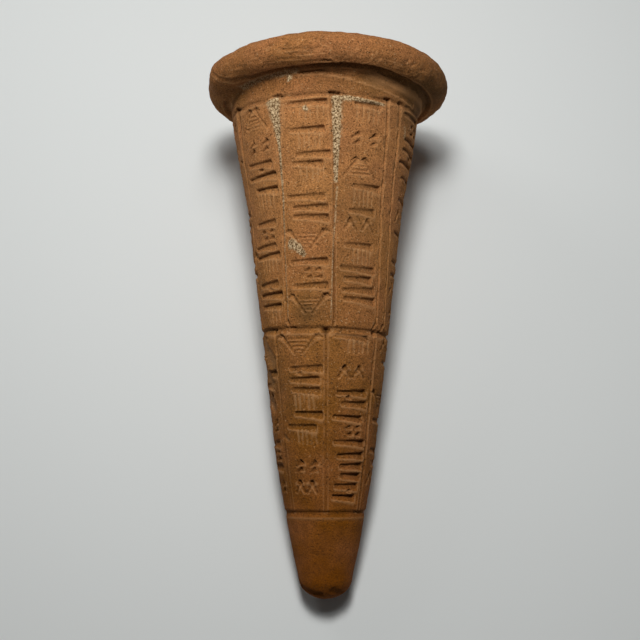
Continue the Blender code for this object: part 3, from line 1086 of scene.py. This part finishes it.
# %% Lumps, and the finished mesh
on_head = smooth_step(114, 118, turned[:, 1])
on_shank = smooth_step(18, 40, turned[:, 1])
lumps = layered(turned, (
    (0.08 + 0.18 * on_head, 0.2, 3.0),
    (0.04 + 0.06 * on_shank + 0.08 * on_head, 0.5, 5.0),
    (0.02 + 0.05 * on_shank + 0.02 * on_head, 1.1, 9.0),
))
shaped = turned + normals * (lumps + lip + grit - depth)[:, None]
resting_points = resting(handmade(shaped))
resting_points[:, 2] = np.maximum(resting_points[:, 2], 0.0)
for vertex, point in zip(form.verts, resting_points):
    vertex.co = point

cone_mesh = bpy.data.meshes.new("clay_cone")
form.to_mesh(cone_mesh)
form.free()
cone_mesh.shade_smooth()
cone = bpy.data.objects.new("clay_cone", cone_mesh)
bpy.context.scene.collection.objects.link(cone)
print("the cone has", len(cone_mesh.polygons), "triangles")

# %% [markdown]
# ## Numbers for the material
#
# The material has to know where dirt and painted shade, dust and painted highlight, stains and
# painted shade under the fold lie, and how far along the cone it is. A colour could be painted on
# each point, but then the material couldn't be changed by itself. Each point keeps plain numbers
# instead, and the material turns them into colour.

# %% Numbers for the material
FULL_LIP = 0.06
CONE_LENGTH = 125


def keep(name, values):
    """Keeps one number for each point, for the material to read."""
    layer = cone_mesh.attributes.new(name, "FLOAT", "POINT")
    layer.data.foreach_set("value", np.asarray(values, np.float32))


# Dark dirt and painted shade of the marks, away from the dust.
keep("dirt", np.clip(dirt, 0, 1) * (1 - dust))
# Pale dust, and painted highlight on the lit walls of the fine strokes.
keep("pale_dust_and_highlight", np.clip(-dirt, 0, 1))
keep("raised", np.clip(lip / FULL_LIP, 0, 1))
keep("stain_and_shade", stain_and_shade)
keep("dust", dust)
keep("along", np.clip(turned[:, 1] / CONE_LENGTH, 0, 1))
print("the mesh keeps", [layer.name for layer in cone_mesh.attributes if layer.data_type == "FLOAT"])

# %% [markdown]
# ## Fired clay
#
# The body is a sandy orange-brown, paler and rosier towards the head, and darker at the tip, partly
# from a browner, more handled clay and partly as painted shade where the light falls off; a dark
# band on the neck is painted shade under the roll. Colour patches, sand grains and pores come from
# noises of different sizes. The numbers kept on the mesh say where dirt and painted shade, stains
# and painted shade under the fold are, where edges are rubbed, where dust is packed and where pale
# dust and painted highlight lie.

# %% Nodes of the clay
clay = bpy.data.materials.new("fired_clay")
clay.use_nodes = True
nodes, links = clay.node_tree.nodes, clay.node_tree.links
shader = nodes["Principled BSDF"]
shader.inputs["Roughness"].default_value = 0.95
shader.inputs["Specular IOR Level"].default_value = 0.1


def node(kind, inputs=None, **settings):
    """A new node; inputs are values or other nodes' outputs, by socket name or number."""
    made = nodes.new(kind)
    for name, value in settings.items():
        setattr(made, name, value)
    for key, value in (inputs or {}).items():
        if isinstance(value, bpy.types.NodeSocket):
            links.new(value, made.inputs[key])
        else:
            made.inputs[key].default_value = value
    return made


place = node("ShaderNodeTexCoord").outputs["Object"]


def attribute(name):
    return node("ShaderNodeAttribute", attribute_name=name).outputs["Fac"]


def noise_value(per_mm, detail=2.0, roughness=0.5):
    """A noise with so many features to a millimetre."""
    inputs = {"Vector": place, "Scale": per_mm / MM, "Detail": detail, "Roughness": roughness}
    return node("ShaderNodeTexNoise", inputs).outputs["Fac"]


def ranged(value, low, high, to_low=0.0, to_high=1.0):
    """A value stretched from the range low to high to the range to_low to to_high."""
    inputs = {"Value": value, "From Min": low, "From Max": high, "To Min": to_low, "To Max": to_high}
    return node("ShaderNodeMapRange", inputs).outputs["Result"]


def times(first, second):
    return node("ShaderNodeMath", {0: first, 1: second}, operation="MULTIPLY").outputs[0]


def mixed(share, first, second, blend="MIX"):
    """Two colours mixed by a share."""
    inputs = {"Factor": share, 6: first, 7: second}
    return node("ShaderNodeMix", inputs, data_type="RGBA", blend_type=blend).outputs[2]


def ramp(value, stops):
    """A colour ramp; stops are pairs of a position and a colour."""
    made = node("ShaderNodeValToRGB", {"Fac": value})
    stops_kept = made.color_ramp.elements
    while len(stops_kept) < len(stops):
        stops_kept.new(0.5)
    for kept, (position, colour) in zip(stops_kept, stops):
        kept.position = position
        kept.color = colour
    return made.outputs["Color"]


def grey(level):
    return (level, level, level, 1.0)


def scaled(colour, share, noise_fac, darkest, lightest):
    """A colour made darker and lighter by a noise."""
    levels = ramp(noise_fac, ((0.3, grey(darkest)), (0.7, grey(lightest))))
    return mixed(share, colour, levels, "MULTIPLY")


# %% Colour of the clay
# Darker towards the tip, partly the clay's browner tone and partly painted shade where the light
# falls off; the dark stop at 0.925 is painted shade on the neck under the roll.
CLAY_AND_SHADE_ALONG = (
    # place along the cone, colour
    (0.0, (0.165, 0.048, 0.002, 1.0)),
    (0.16, (0.180, 0.058, 0.004, 1.0)),
    (0.30, (0.180, 0.066, 0.009, 1.0)),
    (0.45, (0.245, 0.100, 0.022, 1.0)),
    (0.75, (0.355, 0.157, 0.050, 1.0)),
    (0.905, (0.36, 0.157, 0.052, 1.0)),
    (0.925, (0.215, 0.090, 0.023, 1.0)),
    (0.95, (0.28, 0.117, 0.036, 1.0)),
)
GRIT_STOPS = (
    (0.38, (0.05, 0.028, 0.010, 1.0)),
    (0.48, (0.30, 0.19, 0.09, 1.0)),
    (0.62, (0.72, 0.54, 0.32, 1.0)),
)
ROSY = (0.33, 0.125, 0.055, 1.0)
PIT_SHADE = (0.09, 0.038, 0.010, 1.0)
PALE_GRAIN = (0.60, 0.36, 0.17, 1.0)
STAIN_AND_SHADE_COLOUR = (0.10, 0.052, 0.016, 1.0)
RUBBED = (0.50, 0.25, 0.10, 1.0)
DARK_DIRT_AND_SHADE = (0.045, 0.018, 0.004, 1.0)
PALE_DUST_AND_HIGHLIGHT = (0.58, 0.36, 0.17, 1.0)

along = attribute("along")
body = ramp(along, CLAY_AND_SHADE_ALONG)
sandy = ranged(along, 0.1, 0.35, 0.7, 1.0)
patches = ranged(noise_value(0.09, 3.0), 0.35, 0.65)
body = mixed(times(patches, 0.3), body, ROSY)
body = scaled(body, 1.0, noise_value(0.35, 3.0), 0.88, 1.12)
grains = noise_value(3.2, 2.0, 0.7)
body = scaled(body, sandy, grains, 0.5, 1.58)
pits = times(ranged(noise_value(2.2, 1.0), 0.37, 0.27), sandy)
body = mixed(times(pits, 0.65), body, PIT_SHADE)
pale_grains = times(ranged(noise_value(2.1, 1.0), 0.66, 0.76), ranged(along, 0.14, 0.35))
body = mixed(times(pale_grains, 0.6), body, PALE_GRAIN)
# Stains, and painted shade under the fold.
body = mixed(times(attribute("stain_and_shade"), 0.7), body, STAIN_AND_SHADE_COLOUR)
body = mixed(times(attribute("raised"), 0.5), body, RUBBED)
# Dark dirt and painted shade in the hollows of the marks.
body = mixed(times(attribute("dirt"), 0.85), body, DARK_DIRT_AND_SHADE)
# Pale dust, and painted highlight on the lit walls of the fine strokes.
body = mixed(times(attribute("pale_dust_and_highlight"), 0.8), body, PALE_DUST_AND_HIGHLIGHT)
grit_colour = ramp(noise_value(2.4, 2.0, 0.8), GRIT_STOPS)
body = mixed(ranged(attribute("dust"), 0.15, 0.7, 0.0, 0.92), body, grit_colour)
links.new(body, shader.inputs["Base Color"])

# %% Grain and pores of the clay
GRAIN_HEIGHT = 0.0003
fine_bump = node("ShaderNodeBump", {"Height": grains, "Strength": 0.5, "Distance": GRAIN_HEIGHT})
pit_bump = node("ShaderNodeBump", {
    "Height": pits, "Strength": 0.7, "Distance": GRAIN_HEIGHT, "Normal": fine_bump.outputs["Normal"],
}, invert=True)
links.new(pit_bump.outputs["Normal"], shader.inputs["Normal"])
cone_mesh.materials.append(clay)
print("the clay has", len(nodes), "nodes")

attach(cone, "root")
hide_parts("foundation_cone")

# %% [markdown]
# ## Floor and light
#
# A plain pale floor and three soft lights: a window high above the head end, a smaller lamp near
# overhead, which leaves the tip darker, and a low weak one from the left that brings out the
# strokes. One big soft light would be simpler, but it would leave the strokes flat.

# %% The floor
FLOOR_SIZE = 4.0
bpy.ops.mesh.primitive_plane_add(size=FLOOR_SIZE, location=(0, 0, 0))
floor = bpy.context.object
floor.name = "floor"
paper = bpy.data.materials.new("pale_floor")
paper.use_nodes = True
paper_shader = paper.node_tree.nodes["Principled BSDF"]
paper_shader.inputs["Base Color"].default_value = (0.70, 0.720, 0.706, 1.0)
paper_shader.inputs["Roughness"].default_value = 0.9
floor.data.materials.append(paper)

# %% The lights
LIGHTS = (
    # name, place, size, power
    ("window", (0, 0.165, 0.495), 0.16, 0.95),
    ("lamp", (-0.012, 0.075, 0.27), 0.05, 0.37),
    ("low light", (-0.16, 0.17, 0.15), 0.10, 0.07),
)
LIGHT_TARGET = Vector((0, 0.01, 0.02))

world = bpy.data.worlds.new("studio")
world.use_nodes = True
world.node_tree.nodes["Background"].inputs["Color"].default_value = (1.0, 1.0, 1.0, 1.0)
world.node_tree.nodes["Background"].inputs["Strength"].default_value = 0.05
bpy.context.scene.world = world


def soft_box(name, place, size, power):
    """A square soft light, turned towards the middle of the cone."""
    data = bpy.data.lights.new(name, "AREA")
    data.size = size
    data.energy = power
    light = bpy.data.objects.new(name, data)
    bpy.context.scene.collection.objects.link(light)
    light.location = place
    direction = LIGHT_TARGET - Vector(place)
    light.rotation_euler = direction.to_track_quat("-Z", "Y").to_euler()
    return light


lights = [soft_box(*light) for light in LIGHTS]
print("lights:", [light.name for light in lights])
bpy.context.scene.view_settings.view_transform = "Standard"
